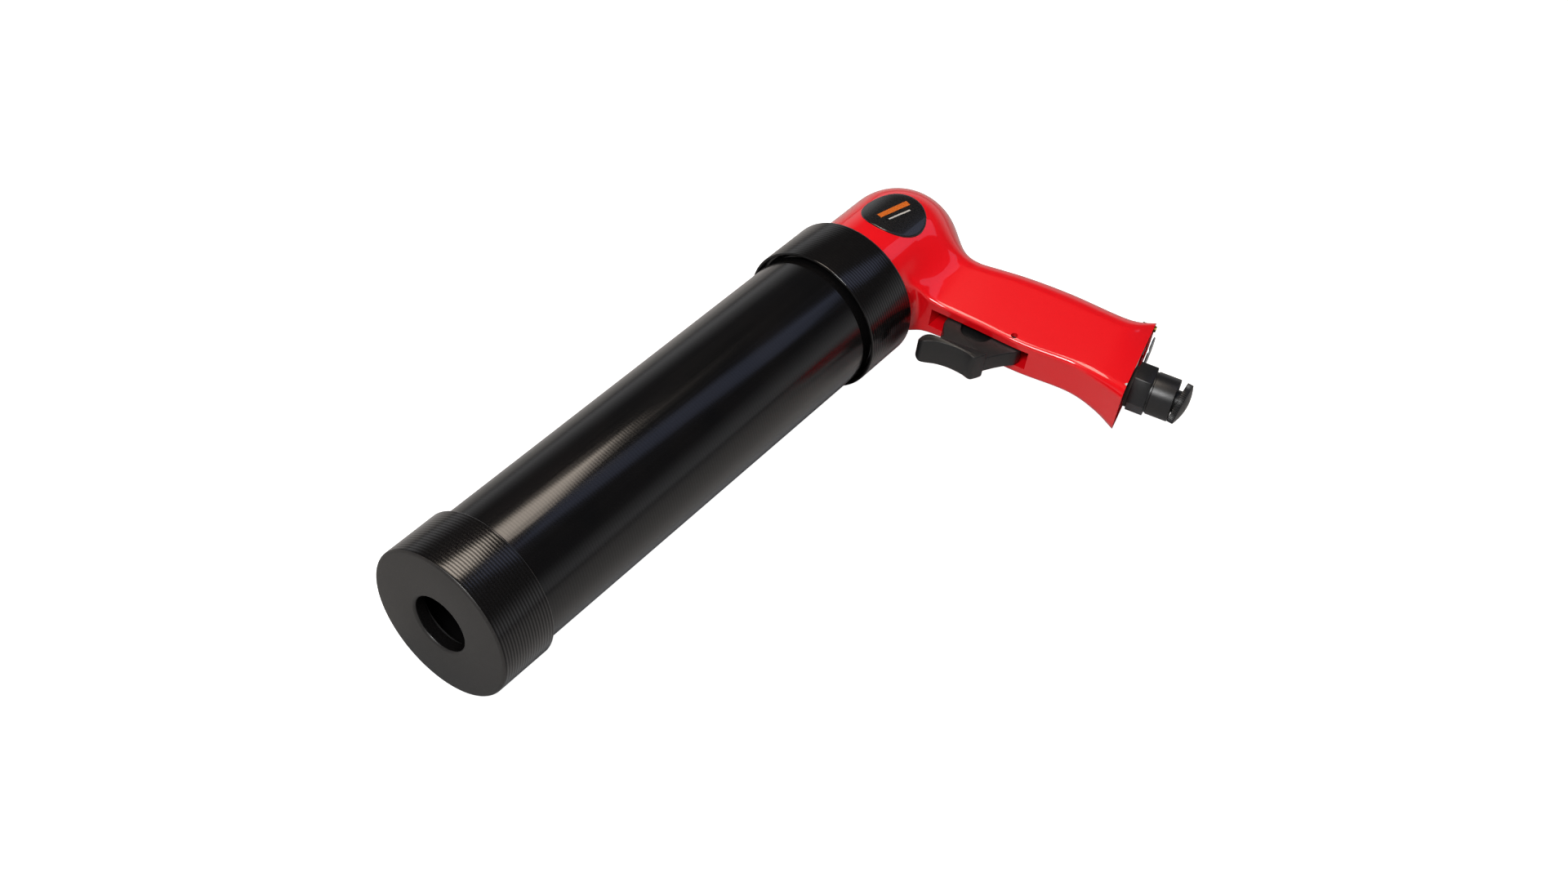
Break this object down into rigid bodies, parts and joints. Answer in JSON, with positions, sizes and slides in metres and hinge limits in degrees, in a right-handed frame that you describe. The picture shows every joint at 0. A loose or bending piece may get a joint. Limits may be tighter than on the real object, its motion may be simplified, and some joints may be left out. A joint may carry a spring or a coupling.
{
  "type": "pneumatic caulking gun",
  "caption": "Pneumatic caulking gun with tubular cartridge barrel, screw front cap, union collar, pistol grip, trigger valve, flow regulator and plugged air inlet.",
  "frame": {"origin": "centre of the nozzle hole, at the front end of its straight wall", "axes": "-Y out of the nozzle along the barrel axis, +X along the grip from the barrel, +Z to the tool's left side, which faces up as the tool lies"},
  "size_m": [0.1644, 0.296, 0.0596],
  "materials": {
    "red_paint": "gloss red paint on die casting",
    "badge": "domed gloss",
    "black_tube": "gloss black anodised",
    "black_cap": "satin black anodised",
    "rubber": "matt",
    "trigger_plastic": "satin",
    "steel": "ground",
    "black_steel": "blackened",
    "brass": "turned",
    "fibre": "matt",
    "chrome": "knurled"
  },
  "bodies": {
    "housing": {"grip_housing": "red_paint", "side_badge": "badge", "barrel_gasket": "rubber", "trigger_pin": "steel", "valve_sleeve": "brass", "valve_spring": "steel", "inlet_bushing": "black_steel", "inlet_washer": "fibre", "inlet_screen": "steel", "regulator_gland": "brass", "vent_screw": "brass"},
    "collar": {"rear_collar": "black_cap"},
    "barrel": {"barrel_tube": "black_tube"},
    "cap_carrier": {"cap_cushion": "rubber"},
    "front_cap": {"front_cap": "black_cap"},
    "trigger": {"trigger": "trigger_plastic"},
    "spool": {"valve_spool": "steel", "spool_seal_front": "rubber", "spool_seal_rear": "rubber"},
    "regulator_carrier": {"regulator_seal": "rubber"},
    "regulator": {"regulator_knob": "chrome", "regulator_needle": "steel"},
    "plug": {"dust_plug": "trigger_plastic"}
  },
  "joints": [
    {"name": "trigger_pivot", "type": "hinge", "parent": "housing", "child": "trigger", "pos_m": [0.0665, 0.24635, 0], "axis": [0, 0, -1], "range_deg": [0, 12], "stiffness_Nm_per_rad": 0.25, "springref_deg": -14.32},
    {"name": "valve_slide", "type": "slide", "parent": "housing", "child": "spool", "axis": [0, 1, 0], "range_m": [0, 0.0034], "deforming": ["valve_spring"]},
    {"name": "collar_turn", "type": "hinge", "parent": "housing", "child": "collar", "pos_m": [0, 0.2171, 0], "axis": [0, 1, 0], "range_deg": [0, 2251]},
    {"name": "barrel_draw", "type": "slide", "parent": "housing", "child": "barrel", "axis": [0, -1, 0], "range_m": [0, 0.0125]},
    {"name": "cap_advance", "type": "slide", "parent": "barrel", "child": "cap_carrier", "axis": [0, -1, 0], "range_m": [0, 0.018]},
    {"name": "cap_turn", "type": "hinge", "parent": "cap_carrier", "child": "front_cap", "pos_m": [0, 0.01075, 0], "axis": [0, -1, 0], "range_deg": [0, 3241]},
    {"name": "regulator_lift", "type": "slide", "parent": "housing", "child": "regulator_carrier", "axis": [0.9688, 0.2478, 0], "range_m": [0, 0.0014]},
    {"name": "regulator_turn", "type": "hinge", "parent": "regulator_carrier", "child": "regulator", "pos_m": [0.10601, 0.28446, 0], "axis": [0.9688, 0.2478, 0], "range_deg": [0, 721]},
    {"name": "plug_pull", "type": "slide", "parent": "housing", "child": "plug", "axis": [0.9688, 0.2478, 0], "range_m": [0, 0.03]}
  ],
  "couplings": [
    {"joint": "valve_slide", "follows": "trigger_pivot", "m_per_rad": 0.016},
    {"joint": "collar_turn", "follows": "barrel_draw", "rad_per_m": 3141.6},
    {"joint": "cap_turn", "follows": "cap_advance", "rad_per_m": 3141.6},
    {"joint": "regulator_turn", "follows": "regulator_lift", "rad_per_m": 8975.9}
  ]
}
